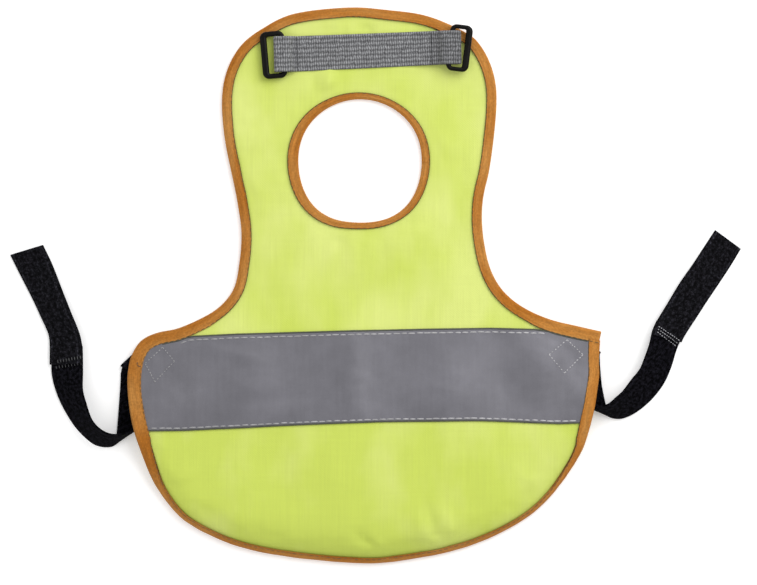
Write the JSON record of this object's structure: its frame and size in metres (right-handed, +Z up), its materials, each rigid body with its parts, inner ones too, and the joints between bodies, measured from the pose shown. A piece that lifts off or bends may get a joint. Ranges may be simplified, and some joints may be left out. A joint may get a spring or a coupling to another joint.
{
  "type": "chicken safety vest",
  "caption": "Small high-visibility vest for a hen, laid flat: bound cloth back panel with a neck hole, reflective band, webbing with plastic rings and elastic wing straps.",
  "frame": {"origin": "on the supporting surface, under the middle of the bounding box", "axes": "+X to the right across the straps, +Y from the skirt to the neck, +Z up from the surface"},
  "size_m": [0.4018, 0.3059, 0.016],
  "materials": {
    "fluorescent_cloth": "fluorescent yellow-green coated weave",
    "orange_tape": "matte woven binding tape",
    "reflective_tape": "grey retroreflective tape with a soft sheen",
    "grey_webbing": "ribbed grey webbing",
    "black_plastic": "satin moulded plastic",
    "black_elastic": "ribbed woven elastic",
    "black_hook_and_loop": "matte hook and loop tape"
  },
  "bodies": {
    "vest": {"body_panel": "fluorescent_cloth", "reflective_band": "reflective_tape", "edge_binding": "orange_tape", "neck_binding": "orange_tape", "webbing_strip": "grey_webbing", "strap_elastic_left": "black_elastic", "strap_elastic_right": "black_elastic", "strap_tape_left": "black_hook_and_loop", "strap_tape_right": "black_hook_and_loop"},
    "left_ring": {"ring_left": "black_plastic"},
    "right_ring": {"ring_right": "black_plastic"}
  },
  "joints": [
    {"name": "left_ring_hinge", "type": "hinge", "parent": "vest", "child": "left_ring", "pos_m": [-0.0506, 0.1272, 0.0062], "axis": [-0.0872, 0.9962, 0], "range_deg": [0, 165]},
    {"name": "right_ring_hinge", "type": "hinge", "parent": "vest", "child": "right_ring", "pos_m": [0.0412, 0.131, 0.0077], "axis": [-0.1219, -0.9925, 0], "range_deg": [0, 150]}
  ]
}
